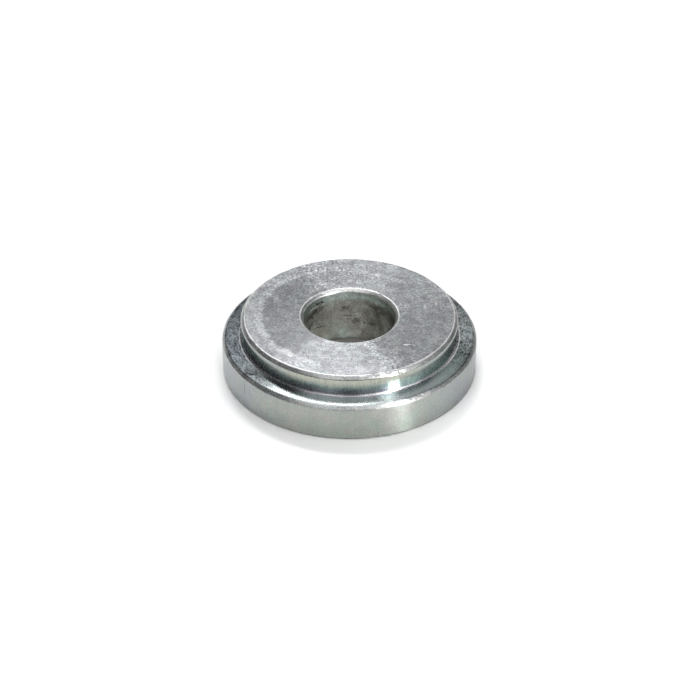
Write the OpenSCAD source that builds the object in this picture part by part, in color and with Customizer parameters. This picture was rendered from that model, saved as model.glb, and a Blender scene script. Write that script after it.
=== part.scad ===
// Stepped locating washer, turned from steel in one piece.
// A wide flange carries a raised round spigot, and a plain bore runs through both.
// Millimetres, +Z up. The origin is on the bore's axis, in the plane that the base stands on.

/* [Flange] */
// Outside diameter of the flange
flange_d = 47; // [40:0.5:60]
// Thickness of the flange, from the base to the ledge
flange_h = 7; // [3:0.5:12]
// Radial width of the ledge, from the spigot's wall to the flange's wall
ledge_w = 3.5; // [2:0.1:6]
// 45 degree break round the flange's top edge
flange_break = 0.6; // [0.2:0.1:1]
// 45 degree break round the outer edge of the base
base_break = 0.3; // [0.1:0.1:0.6]

/* [Spigot] */
// Height of the spigot above the ledge
spigot_h = 4; // [2:0.5:8]
// 45 degree break round the spigot's top edge
spigot_break = 0.6; // [0.2:0.1:1]
// Radius of the fillet that the tool's nose leaves at the foot of the spigot's wall
root_r = 0.4; // [0.2:0.1:0.8]

/* [Bore] */
// Diameter of the through bore
bore_d = 17; // [10:0.5:22]
// 45 degree break round the bore's top edge
bore_top_break = 0.5; // [0.2:0.1:1]
// 45 degree break round the bore's edge in the base
bore_base_break = 0.2; // [0.1:0.1:0.6]

/* [Hidden] */
flange_r = flange_d / 2;
spigot_r = flange_r - ledge_w;
bore_r = bore_d / 2;
total_h = flange_h + spigot_h;
// How far the cutting tools run past the faces that they cut
overrun = 1;
// Facets round the axis, and round the root fillet's own small circle
turn_fn = 240;
root_fn = 48;

// Half section of the flange: base edge break, wall and top edge break
module flange_section() {
    polygon([
        [0, 0],
        [flange_r - base_break, 0],
        [flange_r, base_break],
        [flange_r, flange_h - flange_break],
        [flange_r - flange_break, flange_h],
        [0, flange_h]
    ]);
}

// Half section of the spigot, which starts at the base so that no seam is left at the ledge
module spigot_section() {
    polygon([
        [0, 0],
        [spigot_r, 0],
        [spigot_r, total_h - spigot_break],
        [spigot_r - spigot_break, total_h],
        [0, total_h]
    ]);
}

// Half section of the fillet in the corner between the ledge and the spigot's wall
module root_section() {
    translate([spigot_r, flange_h])
        difference() {
            square(root_r);
            translate([root_r, root_r]) circle(r = root_r, $fn = root_fn);
        }
}

// The outside as the lathe leaves it, before the bore is drilled
module turned_blank() {
    rotate_extrude($fn = turn_fn) {
        flange_section();
        spigot_section();
        root_section();
    }
}

// The bore with the countersinks that break its two edges
module bore_cut() {
    translate([0, 0, -overrun])
        cylinder(r = bore_r, h = total_h + 2 * overrun, $fn = turn_fn);
    translate([0, 0, total_h - bore_top_break])
        cylinder(r1 = bore_r, r2 = bore_r + bore_top_break + overrun, h = bore_top_break + overrun, $fn = turn_fn);
    translate([0, 0, -overrun])
        cylinder(r1 = bore_r + bore_base_break + overrun, r2 = bore_r, h = bore_base_break + overrun, $fn = turn_fn);
}

module washer() {
    color([0.68, 0.70, 0.69])
        difference() {
            turned_blank();
            bore_cut();
        }
}

washer();
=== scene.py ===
"""Stepped washer: a round flange with a raised spigot and a plain through bore.

It is turned from steel in one piece and zinc plated, and it lies on a pale studio floor. Blender works in
metres. Lengths that a maker would write down are in millimetres here and are turned to metres where a mesh or
a lamp is made, and the finishes read the washer's own coordinates in millimetres. A bearing is an angle round
the washer's axis in degrees: 0 is the front, which faces the camera, and it grows towards +X.
"""

import logging
import math
from collections.abc import Callable
from dataclasses import dataclass, field
from enum import Enum

import bmesh
import bpy
import numpy as np
from mathutils import Euler, Matrix, Vector


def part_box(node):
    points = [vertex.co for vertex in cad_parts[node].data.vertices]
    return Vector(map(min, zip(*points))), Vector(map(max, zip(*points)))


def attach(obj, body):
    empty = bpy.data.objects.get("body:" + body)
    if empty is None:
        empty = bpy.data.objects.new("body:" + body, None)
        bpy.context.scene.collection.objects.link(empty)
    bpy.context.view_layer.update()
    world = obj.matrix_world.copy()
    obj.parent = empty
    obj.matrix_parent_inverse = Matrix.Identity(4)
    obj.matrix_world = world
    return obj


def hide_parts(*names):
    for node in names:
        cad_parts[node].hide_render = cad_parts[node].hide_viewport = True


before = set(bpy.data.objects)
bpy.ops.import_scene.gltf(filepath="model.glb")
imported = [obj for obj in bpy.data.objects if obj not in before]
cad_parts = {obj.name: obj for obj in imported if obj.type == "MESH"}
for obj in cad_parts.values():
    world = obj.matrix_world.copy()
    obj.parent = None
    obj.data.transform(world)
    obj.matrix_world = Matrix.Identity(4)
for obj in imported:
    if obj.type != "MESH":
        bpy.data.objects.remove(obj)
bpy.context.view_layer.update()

MM = 0.001
NODE_NAME = "washer"
PIECE_NAME = "turned_washer"
BODY_NAME = "root"
PLACE_TOLERANCE = 2e-6
FULL_TURN = 360.0
NOISE_MEAN = 0.5
RAGGED_REACH = 4.0
# The places of a Mix node's sockets for a share and two colours, and of the one for the mixed colour.
MIX_INPUTS = (0, 6, 7)
MIX_OUTPUT = 2

Socket = bpy.types.NodeSocket
Colour = tuple[float, float, float]
Span = tuple[float, float]
Ring = tuple[float, float]
log = logging.getLogger("washer")


def on_bearing(bearing: float, radius: float, height: float = 0.0) -> Vector:
    """A point at a bearing in degrees, a radius and a height, all lengths in the same unit."""
    turn = math.radians(bearing)
    return Vector((radius * math.sin(turn), -radius * math.cos(turn), height))


def towards(bearing: float, elevation: float, distance: float = 1.0) -> Vector:
    """A point at a bearing, an elevation and a distance from the middle of the washer's base."""
    rise = math.radians(elevation)
    return on_bearing(bearing, distance * math.cos(rise), distance * math.sin(rise))


def facing(direction: Vector, roll: float) -> Euler:
    """The rotation that points a lamp or a camera along a direction, rolled by some degrees."""
    aim = direction.to_track_quat("-Z", "Y").to_matrix().to_4x4()
    return (aim @ Matrix.Rotation(math.radians(roll), 4, "Z")).to_euler()


def profile_spot(vert: bmesh.types.BMVert) -> Vector:
    """Where a vertex is on the turned profile: its radius and height."""
    return Vector((math.hypot(vert.co.x, vert.co.y), vert.co.z))


def is_on_ring(edge: bmesh.types.BMEdge, ring: Ring) -> bool:
    """True if both ends of an edge are on a ring, which is given by its radius and height."""
    return all(math.dist(profile_spot(vert), ring) < PLACE_TOLERANCE for vert in edge.verts)


class Zone(Enum):
    """A surface of the washer with a finish of its own. The value is its material slot."""

    TOP_FACE = 0
    LEDGE = 1
    SPIGOT_WALL = 2
    FLANGE_WALL = 3
    EDGE_BREAK = 4
    ROOT = 5
    BORE = 6
    BORE_MOUTH = 7
    BASE = 8
    RUBBED_EDGE = 9


class Element(Enum):
    """What edit mode selects. The name is Blender's select mode, the value where a mesh keeps them."""

    VERT = "verts"
    EDGE = "edges"
    FACE = "faces"


@dataclass(frozen=True)
class Field:
    """A number, a vector or a colour at each point, which a node gives. Numbers add and multiply."""

    board: "NodeBoard"
    socket: Socket

    def __add__(self, other: "Value") -> "Field":
        """The sum at each point."""
        return self.board.math("ADD", self, other)

    def __sub__(self, other: "Value") -> "Field":
        """The difference at each point."""
        return self.board.math("SUBTRACT", self, other)

    def __rsub__(self, other: float) -> "Field":
        """A number less the field."""
        return self.board.math("SUBTRACT", other, self)

    def __mul__(self, other: "Value") -> "Field":
        """The product at each point."""
        return self.board.math("MULTIPLY", self, other)

    __radd__ = __add__
    __rmul__ = __mul__


Value = Field | float
Given = Field | Socket | float | tuple


def blend(share: Value, first: Value, second: Value) -> Value:
    """A value between two others: the first at a share of 0, the second at 1."""
    return share * (second - first) + first


def drift(noise: Field, reach: float) -> Field:
    """A drift about 0 that follows a noise, times a reach."""
    return (noise - NOISE_MEAN) * reach


class NodeBoard:
    """A node tree, with short calls for the nodes that a finish or a light is made from."""

    def __init__(self, tree: bpy.types.NodeTree) -> None:
        """Takes a node tree and empties it.

        Args:
            tree: A material's or a world's node tree.
        """
        self.nodes = tree.nodes
        self.links = tree.links
        self.nodes.clear()

    def feed(self, socket: Socket, value: Given) -> None:
        """Links a socket to a field or an output, or writes a constant on it.

        Args:
            socket: The input.
            value: What it gets.
        """
        if isinstance(value, Field):
            value = value.socket
        if isinstance(value, Socket):
            self.links.new(value, socket)
        elif socket.type == "RGBA":
            socket.default_value = (*value, 1.0)
        else:
            socket.default_value = value

    def node(self, kind: str, *given: Given, **settings: object) -> bpy.types.Node:
        """Adds a node.

        Args:
            kind: The node's type name, without the ShaderNode prefix.
            *given: What its inputs get, in order.
            **settings: Properties to set on it.

        Returns:
            The new node.
        """
        made = self.nodes.new("ShaderNode" + kind)
        for key, value in settings.items():
            setattr(made, key, value)
        for socket, value in zip(made.inputs, given):
            self.feed(socket, value)
        return made

    def wire(self, node: bpy.types.Node, given: dict[str | int, Given]) -> bpy.types.Node:
        """Feeds some of a node's inputs.

        Args:
            node: The node.
            given: What each input gets, by its name or its place.

        Returns:
            The same node.
        """
        for place, value in given.items():
            self.feed(node.inputs[place], value)
        return node

    def math(self, operation: str, *values: Value) -> Field:
        """A Math node's output, from its inputs in order."""
        return Field(self, self.node("Math", *values, operation=operation).outputs[0])

    def vector(self, operation: str, *values: Given) -> Field:
        """A Vector Math node's vector output, from its inputs in order."""
        return Field(self, self.node("VectorMath", *values, operation=operation).outputs["Vector"])

    def point(self, x: Value, y: Value, z: Value) -> Field:
        """A vector joined from three values."""
        return Field(self, self.node("CombineXYZ", x, y, z).outputs[0])

    def parts(self, vector: Given) -> tuple[Field, ...]:
        """The three values of a vector."""
        return tuple(Field(self, part) for part in self.node("SeparateXYZ", vector).outputs)

    def noise(self, place: Field, size: float, detail: float = 2.0, rough: float = 0.6,
              warp: float = 0.0) -> Field:
        """Smooth noise with features of about a given size.

        Args:
            place: The coordinates, in millimetres.
            size: The size of a feature in the same unit.
            detail: How many finer layers it has.
            rough: How strong each finer layer is.
            warp: How far the pattern is distorted.

        Returns:
            A value that averages one half.
        """
        given = {"Vector": place, "Scale": 1.0 / size, "Detail": detail, "Roughness": rough}
        given["Distortion"] = warp
        return Field(self, self.wire(self.node("TexNoise", noise_dimensions="3D"), given).outputs[0])

    def ramp(self, value: Given, start: float, end: float, low: float = 0.0, high: float = 1.0) -> Field:
        """A smooth step from low at start to high at end, held beyond both."""
        settings = {"interpolation_type": "SMOOTHSTEP", "clamp": True}
        return Field(self, self.node("MapRange", value, start, end, low, high, **settings).outputs[0])

    def swing(self, value: Field, span: Span, share: float) -> Field:
        """A gain that goes from a share below 1 to a share above it, over a span of the value."""
        return self.ramp(value, *span, 1.0 - share, 1.0 + share)

    def hump(self, value: Field, centre: float, half_width: float, fade: float) -> Field:
        """1 within half_width of a centre, fading to 0 over fade beyond it."""
        away = self.math("ABSOLUTE", value - centre)
        return self.ramp(away, half_width, half_width + fade, 1.0, 0.0)

    def bearing_of(self, x: Field, y: Field) -> Field:
        """A point's bearing in degrees."""
        return self.math("DEGREES", self.math("ARCTAN2", x, y * -1.0))

    def turn_from(self, bearing: Field, centre: float) -> Field:
        """The turn in degrees from a centre bearing, from -180 to 180."""
        half = FULL_TURN / 2
        return self.math("FLOORED_MODULO", bearing + (half - centre), FULL_TURN) - half

    def arc(self, bearing: Field, centre: float, half_width: float, fade: float) -> Field:
        """1 within half_width degrees of a bearing, fading to 0 over fade degrees, round the full turn."""
        return self.hump(self.turn_from(bearing, centre), 0.0, half_width, fade)

    def mix(self, share: Value, first: Field | Colour, second: Field | Colour) -> Field:
        """A colour between two others.

        Args:
            share: 0 for the first, 1 for the second.
            first: A colour.
            second: A colour.

        Returns:
            The mixed colour.
        """
        made = self.node("Mix", data_type="RGBA", clamp_factor=True)
        self.wire(made, dict(zip(MIX_INPUTS, (share, first, second))))
        return Field(self, made.outputs[MIX_OUTPUT])

    def shade(self, colour: Field, value: Value) -> Field:
        """A colour or a vector scaled by a value."""
        made = self.node("VectorMath", colour, operation="SCALE")
        return Field(self, self.wire(made, {"Scale": value}).outputs[0])


@dataclass(frozen=True)
class Side:
    """A side of the washer: its middle bearing, half its width and its fade beyond that, in degrees."""

    bearing: float
    half: float
    fade: float = 30.0


class Surface(NodeBoard):
    """The nodes of a finish: where each point is on the washer, and the patterns that its parts share.

    Lengths are in millimetres and bearings in degrees.
    """

    def __init__(self, tree: bpy.types.NodeTree, finish: "PlatedFinish") -> None:
        """Reads the piece's own coordinates and makes the patterns.

        Args:
            tree: The material's node tree.
            finish: The finish, which has the patterns' sizes.
        """
        super().__init__(tree)
        coordinates = self.node("TexCoord").outputs
        self.normal = Field(self, coordinates["Normal"])
        self.spot = self.vector("MULTIPLY", coordinates["Object"], (1 / MM, 1 / MM, 1 / MM))
        self.x, self.y, self.z = self.parts(self.spot)
        self.radius = self.math("SQRT", self.x * self.x + self.y * self.y)
        self.bearing = self.bearing_of(self.x, self.y)
        self.grain = self.noise(self.spot, finish.grain_size, rough=0.55)
        self.mottle = self.noise(self.spot, finish.mottle_size, detail=3.0, warp=0.4)
        self.grooves = self.noise(self.along_turning(finish.groove_stretch), finish.groove_pitch)

    def along_turning(self, stretch: float) -> Field:
        """Coordinates in which a pattern is drawn out some times longer along the turning marks."""
        share = 1.0 / stretch
        return self.point(self.x * share, self.y * share, self.z - self.radius)

    def up_the_wall(self, stretch: float) -> Field:
        """Coordinates in which a pattern is drawn out some times longer up a wall."""
        return self.point(self.x, self.y, self.z * (1.0 / stretch))

    def on_side(self, side: Side, moved: Value = 0.0) -> Field:
        """1 on a side of the washer and 0 away from it, with its outline moved by some degrees."""
        return self.arc(self.bearing + moved, side.bearing, side.half, side.fade)

    def leaning_normal(self, lean: float) -> Field:
        """The surface normal, turned outwards from the axis.

        Args:
            lean: How many degrees the grooves' longer flanks lean outwards, as a facing cut leaves them.

        Returns:
            The normal.
        """
        outward = self.vector("NORMALIZE", self.point(self.x, self.y, 0.0))
        lift = self.vector("ADD", self.normal, self.shade(outward, math.tan(math.radians(lean))))
        return self.vector("NORMALIZE", lift)

    def groove_tangent(self) -> Field:
        """The direction in the surface that crosses the turning marks."""
        round_axis = self.vector("CROSS_PRODUCT", (0.0, 0.0, 1.0), self.spot)
        return self.vector("NORMALIZE", self.vector("CROSS_PRODUCT", round_axis, self.normal))


@dataclass(frozen=True)
class PlatedFinish:
    """Zinc plating over a turned surface. Lengths are in millimetres.

    A span is the part of a pattern's values in which one look passes into another.
    """

    name: str
    cool: Colour = (0.48, 0.505, 0.505)
    warm: Colour = (0.51, 0.50, 0.505)
    warm_span: Span = (0.35, 0.65)
    roughness: float = 0.34
    roughness_spread: float = 0.10
    rough_span: Span = (0.3, 0.7)
    rough_mottle: float = 0.5
    anisotropic: float = 0.7
    metallic: float = 1.0
    grain_size: float = 0.30
    grain_tone: float = 0.25
    grain_span: Span = (0.34, 0.66)
    grain_height: float = 0.006
    mottle_size: float = 2.4
    mottle_tone: float = 0.12
    mottle_span: Span = (0.25, 0.75)
    groove_pitch: float = 0.22
    groove_stretch: float = 60.0
    groove_height: float = 0.0010
    groove_lean: float = 0.0
    # The side and its gain paint one side brighter or darker: painted light or shade.
    side: Side = Side(0.0, 40.0)
    painted_side_light: float = 0.0

    def material(self) -> bpy.types.Material:
        """Builds the finish as a node material.

        Returns:
            The material.
        """
        made = bpy.data.materials.new(self.name)
        made.use_nodes = True
        at = Surface(made.node_tree, self)
        bump = at.wire(at.node("Bump"), {
            "Strength": 1.0,
            "Distance": MM,
            "Height": at.grain * self.grain_height + at.grooves * self.groove_height + self.relief(at),
            "Normal": at.leaning_normal(self.groove_lean),
        })
        shader = at.wire(at.node("BsdfPrincipled"), {
            "Metallic": self.metallic,
            "Anisotropic": self.anisotropic,
            "Base Color": at.shade(self.tint(at), self.tone(at)),
            "Roughness": self.gloss(at),
            "Normal": bump.outputs[0],
            "Tangent": at.groove_tangent(),
        })
        at.node("OutputMaterial", shader.outputs[0])
        return made

    def tint(self, at: Surface) -> Field:
        """The plating's colour, which drifts between cool and warm."""
        return at.mix(at.ramp(at.mottle, *self.warm_span), self.cool, self.warm)

    def tone(self, at: Surface) -> Field:
        """How bright the plating is. One side may be painted brighter or darker, as painted light or shade.

        Args:
            at: The surface.

        Returns:
            The gain, about 1.
        """
        speckle = at.swing(at.grain, self.grain_span, self.grain_tone)
        patches = at.swing(at.mottle, self.mottle_span, self.mottle_tone)
        return speckle * patches * (1.0 + at.on_side(self.side) * self.painted_side_light)

    def gloss(self, at: Surface) -> Field:
        """The roughness, which varies with the patterns.

        Args:
            at: The surface.

        Returns:
            The roughness.
        """
        low = self.roughness - self.roughness_spread
        high = self.roughness + self.roughness_spread
        return at.ramp(blend(self.rough_mottle, at.grain, at.mottle), *self.rough_span, low, high)

    def relief(self, at: Surface) -> Value:
        """Extra height in millimetres."""
        return 0.0


@dataclass(frozen=True)
class Mark:
    """A scratch, a stain or a rubbed patch with a ragged outline. Lengths are in millimetres.

    The level is a radius on a flat face and a height on a wall. A turn of 0 lays the mark round the washer,
    and 90 lays it across. The rim is where it fades, as a share of its half length and half width.
    """

    bearing: float
    level: float
    length: float
    width: float
    turn: float = 0.0
    ragged: float = 0.4
    strength: float = 1.0
    rim: Span = (0.6, 1.1)

    def mask(self, at: Surface, wall_radius: float) -> Field:
        """Where the mark is.

        Args:
            at: The surface.
            wall_radius: The wall's radius, or 0 on a flat face.

        Returns:
            The mark's strength inside, fading to 0 outside.
        """
        along = at.turn_from(at.bearing, self.bearing) * (math.radians(1.0) * (wall_radius or self.level))
        up = (at.z if wall_radius else at.radius) - self.level
        cosine, sine = math.cos(math.radians(self.turn)), math.sin(math.radians(self.turn))
        run = (along * cosine + up * sine) * (2.0 / self.length)
        rise = (up * cosine + along * -sine) * (2.0 / self.width)
        away = at.math("SQRT", run * run + rise * rise)
        torn = drift(at.grain, RAGGED_REACH * self.ragged)
        return at.ramp(away + torn, *self.rim, self.strength, 0.0)


def all_marks(at: Surface, marks: tuple[Mark, ...], wall_radius: float = 0.0) -> Value:
    """The strongest of several marks at each point.

    Args:
        at: The surface.
        marks: The marks.
        wall_radius: The wall's radius, or 0 on a flat face.

    Returns:
        The strength, 0 where there is no mark.
    """
    strongest: Value = 0.0
    for mark in marks:
        strongest = at.math("MAXIMUM", strongest, mark.mask(at, wall_radius))
    return strongest


@dataclass(frozen=True)
class FacedTop(PlatedFinish):
    """A faced surface: a dull speckled skin, with a lighter band at the outer left of the top."""

    cool: Colour = (0.470, 0.508, 0.510)
    warm: Colour = (0.495, 0.508, 0.515)
    lilac: Colour = (0.455, 0.452, 0.490)
    roughness: float = 0.33
    anisotropic: float = 0.92
    metallic: float = 0.78
    grain_size: float = 0.44
    grain_tone: float = 0.31
    grain_height: float = 0.005
    mottle_tone: float = 0.13
    groove_lean: float = 12.0
    cloud_size: float = 1.5
    cloud_span: Span = (0.36, 0.64)
    cloud_tone: float = 0.14
    cloud_share: float = 0.7
    dark_span: Span = (0.35, 0.60)
    rough_mottle: float = 0.15
    skin_span: Span = (0.47, 0.58)
    skin_roughness: float = 0.54
    band_start: float = 16.2
    band_wander: float = 1.6
    band_rise: Span = (-0.4, 0.3)
    band_side: Side = Side(-86.0, 46.0, 25.0)
    band_gain: float = 0.36
    ring_width: float = 0.9
    ring_fade: float = 0.5
    ring_gain: float = 0.34
    pit_size: float = 0.21
    pit_span: Span = (0.60, 0.72)
    pit_tone: float = 0.25
    pit_depth: float = 0.010
    rubbed_and_highlight_gain: float = 0.3
    rubbed_and_highlit: tuple[Mark, ...] = ()
    lilac_and_shade_patches: tuple[Mark, ...] = ()

    def clouds(self, at: Surface) -> Field:
        """Small clouds, the lilac patches, and the painted shade at the back of the top, from 0 to 1."""
        drifting = at.ramp(at.noise(at.spot, self.cloud_size, detail=3.0), *self.cloud_span)
        return at.math("MAXIMUM", drifting, all_marks(at, self.lilac_and_shade_patches))

    def tint(self, at: Surface) -> Field:
        """Greenish grey that turns lilac in the clouds and in the darker grains."""
        share = blend(self.cloud_share, at.ramp(at.grain, *self.dark_span, 1.0, 0.0), self.clouds(at))
        return at.mix(share, super().tint(at), self.lilac)

    def band(self, at: Surface) -> Field:
        """How much lighter the outer band at the left is, lightest along its inner side.

        Args:
            at: The surface.

        Returns:
            The extra gain.
        """
        inside = at.radius + drift(at.mottle, self.band_wander) - self.band_start
        spread = at.ramp(inside, *self.band_rise, 0.0, self.band_gain)
        ring = at.hump(inside, self.ring_width / 2, self.ring_width / 2, self.ring_fade)
        return (spread + ring * self.ring_gain) * at.on_side(self.band_side)

    def tone(self, at: Surface) -> Field:
        """Speckle, with the light band, the clouds, the pits, the rubbed places and a painted highlight at
        the front of the outer edge.

        Args:
            at: The surface.

        Returns:
            The gain, about 1.
        """
        gain = 1.0 + self.band(at) + all_marks(at, self.rubbed_and_highlit) * self.rubbed_and_highlight_gain
        clouded = blend(self.clouds(at), 1.0 + self.cloud_tone, 1.0 - self.cloud_tone)
        return super().tone(at) * gain * clouded * (1.0 + self.pits(at) * -self.pit_tone)

    def gloss(self, at: Surface) -> Field:
        """Smooth turned steel that shows between dull grains."""
        skin = at.ramp(blend(self.rough_mottle, at.grain, at.mottle), *self.skin_span)
        return blend(skin, self.roughness, self.skin_roughness)

    def pits(self, at: Surface) -> Field:
        """Small dark pits in the skin."""
        return at.ramp(at.noise(at.spot, self.pit_size, detail=1.0, rough=0.5), *self.pit_span)

    def relief(self, at: Surface) -> Value:
        """The pits' depth."""
        return self.pits(at) * -self.pit_depth


@dataclass(frozen=True)
class TurnedLedge(PlatedFinish):
    """The flange's upper ledge: smooth turning at the front, coarse green-grey speckle elsewhere, painted
    darker there as painted shade.
    """

    teal: Colour = (0.415, 0.48, 0.485)
    teal_span: Span = (0.85, 1.2)
    smooth_side: Side = Side(10.0, 40.0, 22.0)
    speckle_size: float = 0.36
    speckle_stretch: float = 1.8
    speckle_span: Span = (0.34, 0.66)
    speckle_tone: float = 0.38
    speckle_height: float = 0.008
    patch_size: float = 2.4
    patch_span: Span = (0.36, 0.64)
    patch_tone: float = 0.18
    # Painted shade: where the speckle shows, away from the front, the ledge is painted this much darker.
    side_shade_tone: float = 0.64
    # Painted shade: the darker slate blue that the left side of the ledge is painted with.
    stain_and_shade: Colour = (0.31, 0.35, 0.39)
    slate_shade_side: Side = Side(-98.0, 24.0)
    # Painted shade: dark green in a narrow arc at the right, where the spigot shades the ledge.
    green: Colour = (0.23, 0.285, 0.275)
    painted_green_side: Side = Side(62.0, 7.0, 16.0)
    painted_shade_share: float = 0.85
    # A painted highlight along the outer edge at the front of the ledge.
    edge_rise: Span = (22.30, 22.40)
    edge_side: Side = Side(-12.0, 22.0, 20.0)
    edge_highlight_gain: float = 0.45

    def speckle(self, at: Surface) -> tuple[Field, Field]:
        """The coarse speckle and where it shows."""
        coarse = at.noise(at.along_turning(self.speckle_stretch), self.speckle_size)
        return coarse, 1.0 - at.on_side(self.smooth_side)

    def tint(self, at: Surface) -> Field:
        """Grey that turns green-grey in patches, with painted shade in slate blue on the left and in dark
        green at the right.

        Args:
            at: The surface.

        Returns:
            The colour.
        """
        coarse, _ = self.speckle(at)
        patched = at.mix(at.ramp(coarse + at.mottle, *self.teal_span), super().tint(at), self.teal)
        slate = at.mix(at.on_side(self.slate_shade_side) * self.painted_shade_share, patched, self.stain_and_shade)
        return at.mix(at.on_side(self.painted_green_side) * self.painted_shade_share, slate, self.green)

    def tone(self, at: Surface) -> Field:
        """The fine grain, the coarse speckle and patches with the painted shade where they show, and a
        painted highlight along the outer edge at the front.

        Args:
            at: The surface.

        Returns:
            The gain, about 1.
        """
        coarse, shown = self.speckle(at)
        patches = at.noise(at.spot, self.patch_size)
        swing = at.ramp(coarse, *self.speckle_span, -self.speckle_tone, self.speckle_tone)
        swing += at.ramp(patches, *self.patch_span, -self.patch_tone, self.patch_tone)
        swing += self.side_shade_tone - 1.0
        edge = at.ramp(at.radius, *self.edge_rise, 0.0, self.edge_highlight_gain) * at.on_side(self.edge_side)
        return super().tone(at) * (1.0 + swing * shown + edge)

    def relief(self, at: Surface) -> Value:
        """The coarse speckle's height."""
        coarse, shown = self.speckle(at)
        return coarse * shown * self.speckle_height


@dataclass(frozen=True)
class RainbowWall(PlatedFinish):
    """A smooth turned wall whose thin clear passivation tints it in bands up its height."""

    straw: Colour = (0.385, 0.400, 0.345)
    straw_front: Side = Side(0.0, 24.0, 25.0)
    straw_rise: Span = (8.5, 9.5)
    dull_straw: Colour = (0.345, 0.375, 0.365)
    teal: Colour = (0.350, 0.440, 0.425)
    teal_rise: Span = (7.7, 8.5)
    violet: Colour = (0.430, 0.445, 0.495)
    # A painted reflection: a bright green arc low on the wall at the right.
    green: Colour = (0.64, 0.81, 0.76)
    painted_green_side: Side = Side(46.0, 8.0, 22.0)
    rise_wander: float = 1.6
    mottle_size: float = 3.0
    chatter_size: float = 0.42
    chatter_stretch: float = 9.0
    chatter_span: Span = (0.3, 0.7)
    chatter_tone: float = 0.08
    chatter_height: float = 0.006

    def tint(self, at: Surface) -> Field:
        """Violet at the foot, then teal, then straw, with a wandering boundary, and a painted green
        reflection at the right.

        Args:
            at: The surface.

        Returns:
            The colour.
        """
        height = at.z + drift(at.mottle, self.rise_wander)
        plain = at.mix(at.ramp(height, *self.teal_rise), self.violet, self.teal)
        lower = at.mix(at.on_side(self.painted_green_side), plain, self.green)
        upper = at.mix(at.on_side(self.straw_front), self.dull_straw, self.straw)
        return at.mix(at.ramp(height, *self.straw_rise), lower, upper)

    def chatter(self, at: Surface) -> Field:
        """Faint upright marks that the tool left."""
        return at.noise(at.up_the_wall(self.chatter_stretch), self.chatter_size)

    def tone(self, at: Surface) -> Field:
        """The fine grain with the chatter marks."""
        return super().tone(at) * at.swing(self.chatter(at), self.chatter_span, self.chatter_tone)

    def relief(self, at: Surface) -> Value:
        """The chatter marks' height."""
        return self.chatter(at) * self.chatter_height


@dataclass(frozen=True)
class FlangeWall(RainbowWall):
    """The flange's outer wall: green-grey in front, lilac-grey at the sides, scratched, with painted shade
    along the foot.
    """

    moss: Colour = (0.385, 0.430, 0.390)
    sand: Colour = (0.420, 0.425, 0.400)
    lilac: Colour = (0.378, 0.396, 0.414)
    cloud_size: float = 1.8
    cloud_stretch: float = 1.6
    sand_span: Span = (0.40, 0.62)
    moss_span: Span = (0.45, 0.65)
    moss_front: Side = Side(0.0, 25.0)
    front_wander: float = 60.0
    wall_radius: float = 23.5
    # Painted shade along the foot: the lowest half millimetre of the wall is painted darker.
    foot_rise: Span = (0.30, 0.55)
    foot_wander: float = 0.3
    foot_tone: float = 0.35
    scratch_tone: float = 0.45
    scratches: tuple[Mark, ...] = ()

    def tint(self, at: Surface) -> Field:
        """Green-grey and sand in front, lilac-grey towards the sides, in soft clouds.

        Args:
            at: The surface.

        Returns:
            The colour.
        """
        clouds = at.noise(at.up_the_wall(self.cloud_stretch), self.cloud_size, detail=3.0)
        front = at.mix(at.ramp(clouds, *self.sand_span), self.moss, self.sand)
        side = at.mix(at.ramp(clouds, *self.moss_span), self.lilac, self.moss)
        return at.mix(at.on_side(self.moss_front, drift(at.mottle, self.front_wander)), side, front)

    def tone(self, at: Surface) -> Field:
        """The chatter marks, with painted shade along the foot, and darker in the scratches.

        Args:
            at: The surface.

        Returns:
            The gain, about 1.
        """
        height = at.z + drift(at.mottle, self.foot_wander)
        foot_shade = at.ramp(height, *self.foot_rise, self.foot_tone, 0.0)
        scratched = all_marks(at, self.scratches, self.wall_radius) * self.scratch_tone
        return super().tone(at) * (1.0 - at.math("MAXIMUM", foot_shade, scratched))


@dataclass(frozen=True)
class BrokenEdge(PlatedFinish):
    """A broken edge that tumbling in the plating barrel has peened: dull, with bright bruises."""

    bruise_size: float = 0.38
    bruise_span: Span = (0.60, 0.68)
    bruise_tone: float = 0.35
    bruise_depth: float = 0.004

    def bruises(self, at: Surface) -> Field:
        """Where the edge has been knocked bright."""
        return at.ramp(at.noise(at.spot, self.bruise_size, rough=0.7), *self.bruise_span)

    def tone(self, at: Surface) -> Field:
        """The fine grain, brighter in the bruises."""
        return super().tone(at) * (1.0 + self.bruises(at) * self.bruise_tone)

    def relief(self, at: Surface) -> Value:
        """The bruises' depth."""
        return self.bruises(at) * -self.bruise_depth


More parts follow.
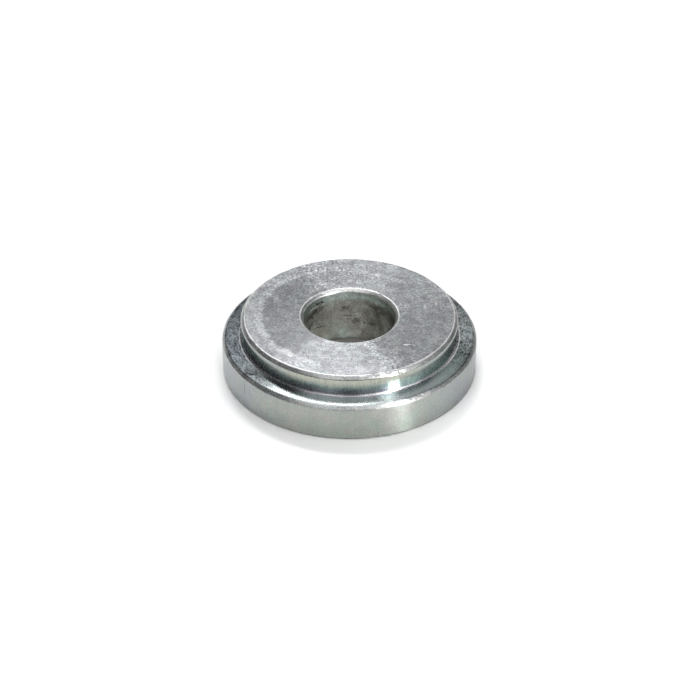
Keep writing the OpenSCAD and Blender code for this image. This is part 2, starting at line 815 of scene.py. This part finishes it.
@dataclass(frozen=True)
class StainedBore(PlatedFinish):
    """The bore's wall: thin plating over dark steel, brown stains and torn marks where the drill dragged,
    with painted highlights along the torn marks.
    """

    clean: Colour = (0.53, 0.61, 0.575)
    stain_and_shade: Colour = (0.315, 0.305, 0.275)
    soot: Colour = (0.11, 0.105, 0.095)
    wall_radius: float = 8.5
    cloud_size: float = 2.6
    mouth_rise: Span = (8.2, 9.6)
    mouth_wander: float = 3.0
    stain_span: Span = (0.30, 0.55)
    stain_shares: Span = (0.45, 1.0)
    soot_side: Side = Side(120.0, 22.0)
    soot_span: Span = (0.35, 0.65)
    soot_shares: Span = (0.25, 0.9)
    tear_depth: float = 0.02
    tears: tuple[Mark, ...] = ()
    clean_spots: tuple[Mark, ...] = ()
    tear_highlights: tuple[Mark, ...] = ()

    def tint(self, at: Surface) -> Field:
        """Clean and green-grey under the mouth, brown below, darkest on the right and in the torn marks.

        Args:
            at: The surface.

        Returns:
            The colour.
        """
        clouds = at.noise(at.spot, self.cloud_size, detail=4.0, rough=0.65, warp=0.8)
        below_mouth = at.ramp(at.z + drift(clouds, self.mouth_wander), *self.mouth_rise, 1.0, 0.0)
        patchy = at.ramp(clouds, *self.stain_span, *self.stain_shares)
        stained = below_mouth * patchy * (1.0 - all_marks(at, self.clean_spots, self.wall_radius))
        brown = at.mix(stained, self.clean, self.stain_and_shade)
        sooty = at.on_side(self.soot_side) * at.ramp(clouds, *self.soot_span, *self.soot_shares) * below_mouth
        tears = all_marks(at, self.tears, self.wall_radius)
        return at.mix(at.math("MAXIMUM", sooty, tears), brown, self.soot)

    def tone(self, at: Surface) -> Field:
        """The grain, with painted highlights along the torn marks."""
        return super().tone(at) * (1.0 + all_marks(at, self.tear_highlights, self.wall_radius))

    def relief(self, at: Surface) -> Value:
        """The torn marks' depth."""
        return all_marks(at, self.tears, self.wall_radius) * -self.tear_depth


def washer_finishes() -> dict[Zone, PlatedFinish]:
    """Chooses the zones' finishes. The first four numbers of a mark are its bearing, level, length and width.

    Returns:
        The finish of each zone.
    """
    return {
        Zone.TOP_FACE: FacedTop(
            "faced_top",
            rubbed_and_highlit=(
                Mark(100.0, 14.2, 2.6, 0.7, turn=10.0),
                Mark(47.2, 14.2, 1.6, 0.34, turn=45.0, ragged=0.1, strength=3.2),
                Mark(14.0, 18.8, 0.6, 0.5),
                Mark(-28.0, 9.6, 3.0, 0.3, turn=8.0, strength=0.7),
                Mark(158.0, 14.6, 4.0, 0.6, turn=-4.0, strength=0.8),
                # A painted highlight: this mark paints the front of the top's outer edge brighter, where the
                # lamp's highlight falls.
                Mark(4.0, 18.0, 9.0, 3.2, ragged=0.7, strength=0.9),
                Mark(62.0, 10.6, 5.0, 3.0, ragged=0.8, strength=0.6),
            ),
            lilac_and_shade_patches=(
                Mark(-122.0, 13.6, 4.5, 2.4, ragged=0.8),
                Mark(-100.0, 14.6, 4.0, 2.4, ragged=0.8),
                Mark(-78.0, 13.2, 3.5, 2.6, ragged=0.8, strength=0.8),
                Mark(62.0, 13.6, 4.0, 2.6, ragged=0.8, strength=0.7),
                Mark(97.0, 17.2, 4.5, 2.2, ragged=0.8, strength=0.7),
                # Painted shade: these two marks darken the back of the top face.
                Mark(-170.0, 14.0, 9.0, 3.4, ragged=0.8, strength=0.9),
                Mark(-156.0, 17.6, 7.0, 3.0, ragged=0.8, strength=0.7),
            ),
        ),
        Zone.LEDGE: TurnedLedge(
            "turned_ledge", cool=(0.47, 0.50, 0.515), warm=(0.495, 0.505, 0.515), roughness=0.27,
            roughness_spread=0.02, anisotropic=0.94, grain_tone=0.10, grain_height=0.002, mottle_tone=0.08,
            groove_lean=12.0,
        ),
        Zone.SPIGOT_WALL: RainbowWall(
            "turned_spigot", roughness=0.18, roughness_spread=0.01, anisotropic=0.9, grain_tone=0.03,
            grain_height=0.0002, mottle_tone=0.05,
        ),
        Zone.FLANGE_WALL: FlangeWall(
            "turned_rim", roughness=0.32, roughness_spread=0.015, anisotropic=0.95, grain_tone=0.09,
            grain_height=0.001, mottle_tone=0.06, chatter_tone=0.025, chatter_height=0.0012,
            # Painted shade: the right side of the flange wall is painted darker.
            side=Side(90.0, 18.0), painted_side_light=-0.24,
            scratches=(
                Mark(-53.4, 4.5, 3.6, 0.26, turn=88.0, ragged=0.3),
                Mark(-46.5, 5.7, 1.2, 0.20, turn=70.0, ragged=0.3, strength=0.6),
                Mark(-15.0, 3.2, 0.5, 0.30, turn=70.0, ragged=0.2, strength=0.5),
                Mark(-33.0, 1.7, 2.4, 0.18, turn=4.0, ragged=0.3, strength=0.4),
                Mark(27.5, 5.1, 0.5, 0.4, strength=0.6),
                Mark(21.0, 0.9, 0.7, 0.25, turn=30.0, strength=0.6),
            ),
        ),
        Zone.EDGE_BREAK: BrokenEdge(
            "broken_edge", cool=(0.49, 0.51, 0.51), warm=(0.53, 0.525, 0.52), roughness=0.35,
            roughness_spread=0.04, anisotropic=0.75, grain_tone=0.24, grain_height=0.0015,
            # Painted shade: the right side of the broken edges is painted darker.
            side=Side(100.0, 22.0), painted_side_light=-0.42,
        ),
        Zone.RUBBED_EDGE: PlatedFinish(
            "rubbed_edge", cool=(0.80, 0.81, 0.81), warm=(0.86, 0.85, 0.85), roughness=0.40,
            roughness_spread=0.05, anisotropic=0.2, grain_tone=0.15, grain_height=0.001,
        ),
        Zone.ROOT: PlatedFinish(
            "root_fillet", cool=(0.50, 0.51, 0.53), warm=(0.54, 0.53, 0.55), roughness=0.27,
            roughness_spread=0.02, anisotropic=0.9, grain_tone=0.08, grain_height=0.0003,
            # A painted highlight: the root fillet is painted brighter at the right front.
            side=Side(48.0, 34.0), painted_side_light=0.45,
        ),
        Zone.BORE: StainedBore(
            "stained_bore", roughness=0.40, roughness_spread=0.08, anisotropic=0.5, grain_tone=0.18,
            grain_height=0.004, mottle_size=1.6, mottle_tone=0.20,
            tears=(
                Mark(-137.0, 9.3, 2.7, 0.60, turn=5.0, ragged=1.1, strength=1.4),
                Mark(-131.0, 8.0, 2.4, 0.95, turn=-6.0, ragged=1.1, strength=1.7),
                Mark(-119.0, 7.7, 2.2, 1.00, ragged=1.1, strength=1.7),
                Mark(-126.0, 6.9, 1.2, 0.30, turn=40.0, ragged=0.9),
                Mark(-121.0, 5.4, 2.4, 0.80, turn=-30.0, ragged=1.0, strength=1.1),
                Mark(-139.0, 4.0, 2.8, 0.34, turn=12.0, ragged=0.8, strength=0.9),
                Mark(-136.0, 4.8, 2.0, 0.26, turn=14.0, ragged=0.8, strength=0.7),
                Mark(180.0, 5.15, 2.2, 0.20, ragged=0.5, strength=0.9),
                Mark(-175.0, 6.9, 1.9, 0.9, ragged=0.9, strength=0.9),
                Mark(172.0, 4.2, 1.6, 1.2, ragged=1.0, strength=0.8),
                Mark(149.0, 4.0, 1.5, 1.3, turn=30.0, ragged=1.0, strength=1.2),
                Mark(138.0, 3.5, 0.6, 0.9, ragged=0.7, strength=0.9),
                Mark(161.0, 3.9, 0.6, 0.8, ragged=0.7, strength=0.9),
                Mark(163.0, 2.0, 0.6, 0.8, ragged=0.7, strength=0.9),
                Mark(134.0, 7.4, 1.8, 1.6, ragged=1.0, strength=0.8),
            ),
            clean_spots=(
                Mark(-174.0, 1.2, 3.6, 2.6, ragged=0.6, strength=0.6),
                Mark(-150.0, 1.0, 3.0, 1.6, ragged=0.6, strength=0.4),
            ),
            # Painted highlights along the torn marks.
            tear_highlights=(
                Mark(180.0, 4.85, 2.4, 0.18, strength=0.6),
                Mark(-128.0, 8.9, 2.2, 0.45, turn=-4.0, ragged=1.0),
                Mark(-121.0, 6.6, 2.6, 0.90, ragged=1.0, strength=0.4),
            ),
        ),
        Zone.BORE_MOUTH: BrokenEdge(
            "bore_mouth", cool=(0.455, 0.49, 0.475), warm=(0.495, 0.505, 0.485), roughness=0.46,
            roughness_spread=0.05, anisotropic=0.4, grain_tone=0.20, grain_height=0.002, mottle_tone=0.15,
            # Painted light: the bore's mouth is painted brighter on its right and back.
            side=Side(128.0, 42.0), painted_side_light=0.85,
        ),
        Zone.BASE: FacedTop("faced_base", band_gain=0.0, ring_gain=0.0),
    }


@dataclass(frozen=True)
class Dent:
    """A short groove in the metal, or a raised burr where the depth is negative. Lengths in millimetres.

    The lean is how many degrees the struck surface faces outwards from upright. The mesh is cut finer some
    times before the blow.
    """

    bearing: float
    radius: float
    height: float
    length: float
    width: float
    depth: float
    turn: float = 0.0
    lean: float = 45.0
    cuts: int = 2


# In order: bearing, radius, height, length, width and depth.
TOP_NICK = (
    Dent(47.0, 14.35, 11.0, 1.4, 0.6, 0.08, turn=45.0, lean=0.0, cuts=3),
    Dent(47.3, 14.05, 11.0, 1.2, 0.5, -0.05, turn=45.0, lean=0.0, cuts=0),
)
EDGE_KNOCKS = (
    Dent(14.0, 19.4, 11.0, 0.5, 0.6, 0.09),
    Dent(21.0, 19.5, 10.9, 0.8, 0.5, 0.07),
    Dent(27.5, 19.8, 10.6, 0.6, 0.5, 0.06),
    Dent(-62.0, 19.6, 10.9, 0.7, 0.5, 0.06),
    Dent(-118.0, 19.6, 10.9, 0.9, 0.6, 0.07),
    Dent(95.0, 19.6, 10.9, 0.6, 0.5, 0.06),
    Dent(150.0, 19.6, 10.9, 0.9, 0.5, 0.07),
    Dent(19.0, 23.0, 6.9, 0.7, 0.5, 0.04),
    Dent(25.0, 23.3, 6.6, 0.9, 0.5, 0.04),
    Dent(33.0, 23.1, 6.8, 0.5, 0.5, 0.03),
    Dent(-48.0, 23.2, 6.8, 0.9, 0.5, 0.06),
    Dent(-101.0, 23.2, 6.8, 0.8, 0.6, 0.08),
    Dent(132.0, 23.2, 6.8, 0.8, 0.6, 0.07),
    Dent(170.0, 8.8, 10.8, 0.5, 0.4, 0.05, lean=-45.0),
    Dent(-146.0, 8.8, 10.8, 0.5, 0.4, 0.05, lean=-45.0),
    Dent(140.0, 8.9, 10.9, 0.7, 0.4, 0.05, lean=-45.0),
)


@dataclass
class TurnedWasher:
    """The washer's body. Lengths are in metres; the outside comes from the frame."""

    flange_r: float
    total_h: float
    flange_h: float = 7.0 * MM
    ledge_w: float = 3.5 * MM
    bore_r: float = 8.5 * MM
    flange_break: float = 0.6 * MM
    spigot_break: float = 0.6 * MM
    base_break: float = 0.3 * MM
    bore_top_break: float = 0.5 * MM
    bore_base_break: float = 0.2 * MM
    root_r: float = 0.4 * MM
    root_steps: int = 6
    worn_r: float = 0.18 * MM
    edge_r: float = 0.10 * MM
    round_steps: int = 3
    segments: int = 360
    ring_step: float = 0.8 * MM
    wall_slack: float = 0.04 * MM
    flat_normal: float = 0.99
    piece: bpy.types.Object = field(init=False, default=None)

    @classmethod
    def from_frame(cls, node: str) -> "TurnedWasher":
        """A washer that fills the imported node's box."""
        low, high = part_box(node)
        return cls(flange_r=(high.x - low.x) / 2, total_h=high.z - low.z)

    @property
    def spigot_r(self) -> float:
        """The spigot's radius."""
        return self.flange_r - self.ledge_w

    @property
    def rubbed_rings(self) -> list[Ring]:
        """The upper ring of the spigot's broken edge, and both rings of the bore's mouth."""
        top, cut = self.total_h, self.bore_top_break
        return [(self.spigot_r - self.spigot_break, top), (self.bore_r + cut, top), (self.bore_r, top - cut)]

    def build(self) -> bpy.types.Object:
        """Models the washer: blank, step, bore, broken edges, rings, zones and knocks.

        Returns:
            The finished mesh object.
        """
        self._blank()
        self._step()
        self._bore()
        self._break_edges()
        self._round_edges()
        self._add_rings()
        self._mark_zones()
        for dent in TOP_NICK + EDGE_KNOCKS:
            self._strike(dent)
        self._settle()
        return self.piece

    def _blank(self) -> None:
        """The flange as a plain disc."""
        bpy.ops.object.select_all(action="DESELECT")
        bpy.ops.mesh.primitive_cylinder_add(
            vertices=self.segments,
            radius=self.flange_r,
            depth=self.flange_h,
            location=(0, 0, self.flange_h / 2),
        )
        self.piece = bpy.context.object
        self.piece.name = PIECE_NAME
        self.piece.data.name = PIECE_NAME
        bpy.ops.object.transform_apply(location=True, rotation=False, scale=False)

    def _select(self, element: Element, chosen: Callable[..., bool]) -> None:
        """Enters edit mode and selects what a test chooses.

        Args:
            element: Vertices, edges or faces.
            chosen: True for one that is to be selected.
        """
        bpy.ops.object.mode_set(mode="EDIT")
        bpy.ops.mesh.select_mode(type=element.name)
        bpy.ops.mesh.select_all(action="DESELECT")
        mesh = bmesh.from_edit_mesh(self.piece.data)
        mesh.normal_update()
        for part in getattr(mesh, element.value):
            part.select_set(chosen(part))
        bmesh.update_edit_mesh(self.piece.data)

    def _leave(self) -> None:
        """Goes back to object mode."""
        bpy.ops.object.mode_set(mode="OBJECT")

    def _select_cap(self, height: float, up: float) -> None:
        """Selects the flat cap at a height.

        Args:
            height: The cap's height.
            up: 1 if it faces up, -1 if it faces down.
        """
        def is_cap(face: bmesh.types.BMFace) -> bool:
            """True for the one face with a corner at every segment."""
            flat = face.normal.z * up > self.flat_normal and len(face.verts) == self.segments
            return flat and abs(face.calc_center_median().z - height) < PLACE_TOLERANCE

        self._select(Element.FACE, is_cap)

    def _select_rings(self, rings: list[Ring]) -> None:
        """Selects the edges of some rings."""
        self._select(Element.EDGE, lambda edge: any(is_on_ring(edge, ring) for ring in rings))

    def _bevel(self, rings: list[Ring], width: float, steps: int = 1) -> None:
        """Bevels some rings.

        Args:
            rings: The rings.
            width: The bevel's width along each face.
            steps: How many facets it has.
        """
        self._select_rings(rings)
        bpy.ops.mesh.bevel(
            offset_type="OFFSET", offset=width, segments=steps, profile=0.5, affect="EDGES",
            clamp_overlap=False,
        )
        self._leave()

    def _step(self) -> None:
        """Insets the top and raises the spigot from it."""
        self._select_cap(self.flange_h, 1)
        bpy.ops.mesh.inset(thickness=self.ledge_w, depth=0)
        rise = (0, 0, self.total_h - self.flange_h)
        bpy.ops.mesh.extrude_region_move(TRANSFORM_OT_translate={"value": rise})
        self._leave()

    def _bore(self) -> None:
        """Opens both faces to the bore and joins the two holes with its wall."""
        for height, up, outer in ((self.total_h, 1, self.spigot_r), (0.0, -1, self.flange_r)):
            self._select_cap(height, up)
            bpy.ops.mesh.inset(thickness=outer - self.bore_r, depth=0)
            bpy.ops.mesh.delete(type="FACE")
            self._leave()
        self._select_rings([(self.bore_r, self.total_h), (self.bore_r, 0.0)])
        bpy.ops.mesh.bridge_edge_loops()
        self._leave()

    def _break_edges(self) -> None:
        """Breaks each sharp edge at 45 degrees and fillets the spigot's root."""
        cuts = (
            (self.spigot_r, self.total_h, self.spigot_break),
            (self.flange_r, self.flange_h, self.flange_break),
            (self.flange_r, 0.0, self.base_break),
            (self.bore_r, self.total_h, self.bore_top_break),
            (self.bore_r, 0.0, self.bore_base_break),
        )
        for radius, height, width in cuts:
            self._bevel([(radius, height)], width)
        self._bevel([(self.spigot_r, self.flange_h)], self.root_r, self.root_steps)

    def _round_edges(self) -> None:
        """Takes the sharpness off both sides of each broken edge, as tumbling in the plating barrel does."""
        worn_rings = self.rubbed_rings + [
            (self.flange_r - self.flange_break, self.flange_h),
            (self.spigot_r, self.total_h - self.spigot_break),
            (self.flange_r, self.flange_h - self.flange_break),
        ]
        self._bevel(worn_rings, self.worn_r, self.round_steps)
        base_rings = [(self.flange_r, self.base_break), (self.flange_r - self.base_break, 0.0)]
        self._bevel(base_rings, self.edge_r, self.round_steps)

    def _add_rings(self) -> None:
        """Divides the long faces into rings of about ring_step."""
        mesh = bmesh.new()
        mesh.from_mesh(self.piece.data)
        counts = sorted({self._ring_count(edge) for edge in mesh.edges} - {1})
        mesh.free()
        for count in counts:
            self._select(Element.EDGE, lambda edge: self._ring_count(edge) == count)
            bpy.ops.mesh.subdivide(number_cuts=count - 1)
            self._leave()

    def _ring_count(self, edge: bmesh.types.BMEdge) -> int:
        """Into how many rings of ring_step an edge's run across the turning divides."""
        first, second = (profile_spot(vert) for vert in edge.verts)
        return max(1, round((first - second).length / self.ring_step))

    def _strike(self, dent: Dent) -> None:
        """Makes the mesh finer round a knock and presses it in.

        Args:
            dent: The knock.
        """
        middle = on_bearing(dent.bearing, dent.radius, dent.height) * MM
        up, outward = Vector((0, 0, 1)), on_bearing(dent.bearing, 1.0)
        lean, turn = math.radians(dent.lean), math.radians(dent.turn)
        normal = up * math.cos(lean) + outward * math.sin(lean)
        line = up.cross(outward) * math.cos(turn) + outward * math.sin(turn)
        half = dent.length / 2 * MM
        reach = (dent.length / 2 + dent.width) * MM

        def is_on_line(vert: bmesh.types.BMVert) -> bool:
            """True for a vertex within a quarter of the dent's width from its middle line."""
            away = vert.co - middle
            return (away - line * max(-half, min(half, away.dot(line)))).length < dent.width * MM / 4

        for _ in range(dent.cuts):
            self._select(Element.FACE, lambda face: (face.calc_center_median() - middle).length < reach)
            bpy.ops.mesh.subdivide(number_cuts=1)
            self._leave()
        self._select(Element.VERT, is_on_line)
        bpy.ops.transform.translate(
            value=normal * -dent.depth * MM,
            use_proportional_edit=True,
            proportional_edit_falloff="SMOOTH",
            proportional_size=dent.width * MM / 2,
        )
        self._leave()

    def _settle(self) -> None:
        """Points the faces outwards, smooths them and weights the normals by face area."""
        self._select(Element.FACE, lambda face: True)
        bpy.ops.mesh.remove_doubles(threshold=PLACE_TOLERANCE / 2)
        bpy.ops.mesh.normals_make_consistent(inside=False)
        self._leave()
        bpy.ops.object.shade_smooth()
        weighted = self.piece.modifiers.new("even_normals", "WEIGHTED_NORMAL")
        weighted.keep_sharp = True
        bpy.ops.object.modifier_apply(modifier=weighted.name)

    def _mark_zones(self) -> None:
        """Gives each face the material slot of its zone."""
        for _ in Zone:
            self.piece.data.materials.append(None)
        faces = self.piece.data.polygons
        centres = np.zeros(len(faces) * 3)
        faces.foreach_get("center", centres)
        x, y, height = centres.reshape(-1, 3).T
        zones = [self._zone(*spot).value for spot in zip(np.hypot(x, y), height)]
        faces.foreach_set("material_index", np.array(zones, np.int32))

    def _zone(self, radius: float, height: float) -> Zone:
        """Which zone a face belongs to.

        Args:
            radius: The radius of its centre.
            height: The height of its centre.

        Returns:
            The zone.
        """
        spot = PLACE_TOLERANCE
        if height > self.total_h - spot:
            return Zone.TOP_FACE
        if height < spot:
            return Zone.BASE
        if any(abs(radius - r) < self.worn_r and abs(height - h) < self.worn_r for r, h in self.rubbed_rings):
            return Zone.RUBBED_EDGE
        mouth_foot = self.total_h - self.bore_top_break - self.worn_r
        if radius < self.bore_r + self.bore_top_break + self.worn_r and height > mouth_foot:
            return Zone.BORE_MOUTH
        if radius < self.bore_r + self.bore_base_break:
            return Zone.BORE
        if radius > self.flange_r - self.wall_slack and height < self.flange_h - self.flange_break:
            return Zone.FLANGE_WALL
        ledge_low = self.flange_h - (self.worn_r if radius > self.spigot_r + self.root_r else spot)
        ledge_out = self.flange_r - self.flange_break + self.worn_r
        if ledge_low < height < self.flange_h + spot and radius < ledge_out:
            return Zone.LEDGE
        if height < self.flange_h + self.root_r and radius < self.flange_r - self.flange_break:
            return Zone.ROOT
        if self.flange_h < height < self.total_h - self.spigot_break:
            return Zone.SPIGOT_WALL
        return Zone.EDGE_BREAK

    def dress(self) -> None:
        """Puts each zone's finish in its material slot."""
        for zone, finish in washer_finishes().items():
            self.piece.data.materials[zone.value] = finish.material()


@dataclass(frozen=True)
class StudioFloor:
    """A pale floor that is white to the camera and in the metal, and keeps the washer's shadow. An ambient
    occlusion node darkens it round the washer as a painted contact shadow, and inside the bore the camera
    sees a painted shade.

    Lengths are in metres.
    """

    half_size: float = 3.0
    bounce: Colour = (0.80, 0.80, 0.80)
    shown: Colour = (2.1, 2.1, 2.1)
    hole_shade: Colour = (0.54, 0.52, 0.50)
    hole_rim: Span = (0.0085, 0.00935)
    contact_reach: float = 0.008
    contact_share: float = 0.50
    contact_samples: int = 8

    def build(self) -> bpy.types.Object:
        """Lays the floor under the washer.

        Returns:
            The floor.
        """
        bpy.ops.object.select_all(action="DESELECT")
        bpy.ops.mesh.primitive_grid_add(x_subdivisions=2, y_subdivisions=2, size=2 * self.half_size)
        floor = bpy.context.object
        floor.name = "studio_floor"
        floor.data.materials.append(self.material())
        return floor

    def material(self) -> bpy.types.Material:
        """White paper: a plain colour lights the washer, and a whiter one is seen.

        Returns:
            The material.
        """
        made = bpy.data.materials.new("floor_paper")
        made.use_nodes = True
        board = NodeBoard(made.node_tree)
        path = board.node("LightPath").outputs
        camera = Field(board, path["Is Camera Ray"])
        seen_ray = board.math("MAXIMUM", camera, path["Is Glossy Ray"])
        seen_ray = board.math("MAXIMUM", seen_ray, path["Is Transmission Ray"])
        spot = board.node("TexCoord").outputs["Object"]
        reach = board.node("VectorMath", spot, operation="LENGTH").outputs["Value"]
        # Painted shade: under the bore the camera sees the darker hole_shade colour.
        in_hole = board.ramp(reach, *self.hole_rim, 1.0, 0.0) * camera
        # Painted contact shadow: an ambient occlusion node darkens the seen colour near the washer.
        painted_contact_shadow = board.node("AmbientOcclusion", samples=self.contact_samples)
        board.wire(painted_contact_shadow, {"Distance": self.contact_reach})
        open_share = blend(self.contact_share, 1.0, Field(board, painted_contact_shadow.outputs["AO"]))
        paper = board.shade(board.mix(in_hole, self.shown, self.hole_shade), open_share)
        plain, seen = board.node("BsdfDiffuse", self.bounce), board.node("BsdfDiffuse", paper)
        pick = board.node("MixShader", seen_ray, plain.outputs[0], seen.outputs[0])
        board.node("OutputMaterial", pick.outputs[0])
        return made


@dataclass(frozen=True)
class SoftLamp:
    """A rectangular lamp that faces the washer. Lengths are in metres, angles in degrees."""

    name: str
    bearing: float
    elevation: float
    width: float
    length: float
    radiance: float
    roll: float = 0.0
    distance: float = 1.0
    lights_floor: bool = True

    def build(self) -> bpy.types.Object:
        """Hangs the lamp.

        Returns:
            The lamp object.
        """
        data = bpy.data.lights.new(self.name, "AREA")
        data.shape = "RECTANGLE"
        data.size = self.width
        data.size_y = self.length
        data.energy = self.radiance * self.width * self.length * math.pi
        lamp = bpy.data.objects.new(self.name, data)
        bpy.context.scene.collection.objects.link(lamp)
        lamp.location = towards(self.bearing, self.elevation, self.distance)
        lamp.rotation_euler = facing(-lamp.location, self.roll)
        lamp.visible_diffuse = self.lights_floor
        return lamp


LAMPS = (
    SoftLamp(
        "overhead_softbox", bearing=189.5, elevation=56.5, width=0.32, length=0.10, radiance=15.6, roll=-25.0,
    ),
    SoftLamp(
        "side_strip", bearing=44.5, elevation=28.5, width=0.18, length=0.98, radiance=11.4,
        lights_floor=False,
    ),
    SoftLamp(
        "side_panel", bearing=67.5, elevation=33.0, width=0.30, length=0.30, radiance=1.8,
        lights_floor=False,
    ),
)


@dataclass(frozen=True)
class SoftPatch:
    """A softly lit part of the room, seen from the washer. Angles are in degrees.

    The fade is the one in elevation, and the one in bearing is twice as wide.
    """

    bearing: float
    half_bearing: float
    elevation: float
    half_elevation: float
    level: float
    fade: float = 6.0

    def light(self, board: NodeBoard, bearing: Field, elevation: Field) -> Field:
        """The patch's light in each direction."""
        across = board.arc(bearing, self.bearing, self.half_bearing, self.fade * 2)
        return across * board.hump(elevation, self.elevation, self.half_elevation, self.fade) * self.level


# In order: bearing, half its width, elevation, half its height and level.
ROOM_PATCHES = (
    SoftPatch(0.0, 180.0, 90.0, 18.0, 0.6),
    SoftPatch(172.0, 18.0, 16.0, 6.0, 0.3),
    SoftPatch(185.0, 24.0, 33.0, 6.0, 0.95),
    SoftPatch(180.0, 20.0, 54.0, 9.0, 1.1),
    SoftPatch(-18.0, 40.0, 54.0, 9.0, 1.1),
    SoftPatch(55.0, 30.0, 54.0, 9.0, 0.25),
    SoftPatch(145.0, 8.0, 43.0, 6.0, 0.5),
    SoftPatch(215.0, 8.0, 43.0, 6.0, 0.6),
    SoftPatch(22.5, 5.0, 33.0, 8.0, 1.4),
    SoftPatch(-22.0, 5.0, 33.0, 8.0, 1.4),
    SoftPatch(-85.0, 22.0, 38.0, 9.0, 0.12),
    SoftPatch(90.0, 40.0, 18.0, 6.0, 0.3),
    SoftPatch(45.0, 12.0, 4.0, 6.0, 1.5),
    SoftPatch(95.0, 15.0, 33.0, 8.0, 0.3),
)


@dataclass(frozen=True)
class StudioRoom:
    """The soft light of the room: a dim surround with a few lit parts."""

    surround: Colour = (0.03, 0.031, 0.033)
    lit: tuple[SoftPatch, ...] = ROOM_PATCHES

    def build(self) -> None:
        """Makes the world."""
        world = bpy.data.worlds.new("studio_room")
        world.use_nodes = True
        bpy.context.scene.world = world
        board = NodeBoard(world.node_tree)
        x, y, z = board.parts(board.node("TexCoord").outputs["Generated"])
        bearing = board.bearing_of(x, y)
        elevation = board.math("DEGREES", board.math("ARCSINE", z))
        level = sum(patch.light(board, bearing, elevation) for patch in self.lit)
        light = board.vector("ADD", board.point(level, level, level), self.surround)
        board.node("OutputWorld", board.node("Background", light).outputs[0])


@dataclass(frozen=True)
class StudioCamera:
    """The camera, at the photograph's angle. Lengths are in millimetres, angles in degrees."""

    elevation: float = 34.597
    distance: float = 376.0
    focal: float = 104.07
    sensor: float = 36.0
    roll: float = 0.101
    target: tuple[float, float, float] = (0.114, 0.0, 3.152)
    clip: Span = (10.0, 20000.0)

    def build(self) -> bpy.types.Object:
        """Sets up the scene's camera.

        Returns:
            The camera object.
        """
        data = bpy.data.cameras.new("studio_camera")
        data.lens = self.focal
        data.sensor_width = self.sensor
        data.clip_start, data.clip_end = (length * MM for length in self.clip)
        camera = bpy.data.objects.new("studio_camera", data)
        bpy.context.scene.collection.objects.link(camera)
        back = towards(0.0, self.elevation)
        camera.location = (Vector(self.target) + back * self.distance) * MM
        camera.rotation_euler = facing(-back, self.roll)
        bpy.context.scene.camera = camera
        return camera


def main() -> None:
    """Builds the stage and the washer, and reports each piece."""
    logging.basicConfig(level=logging.INFO, format="%(name)s: %(message)s")
    StudioCamera().build()
    StudioRoom().build()
    for lamp in LAMPS:
        lamp.build()
    StudioFloor().build()
    washer = TurnedWasher.from_frame(NODE_NAME)
    piece = washer.build()
    washer.dress()
    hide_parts(NODE_NAME)
    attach(piece, BODY_NAME)
    triangles = sum(len(face.vertices) - 2 for face in piece.data.polygons)
    log.info("%s: %d triangles, %d finishes", piece.name, triangles, len(piece.data.materials))
    bpy.context.scene.view_settings.view_transform = "Standard"


if __name__ == "__main__":
    main()
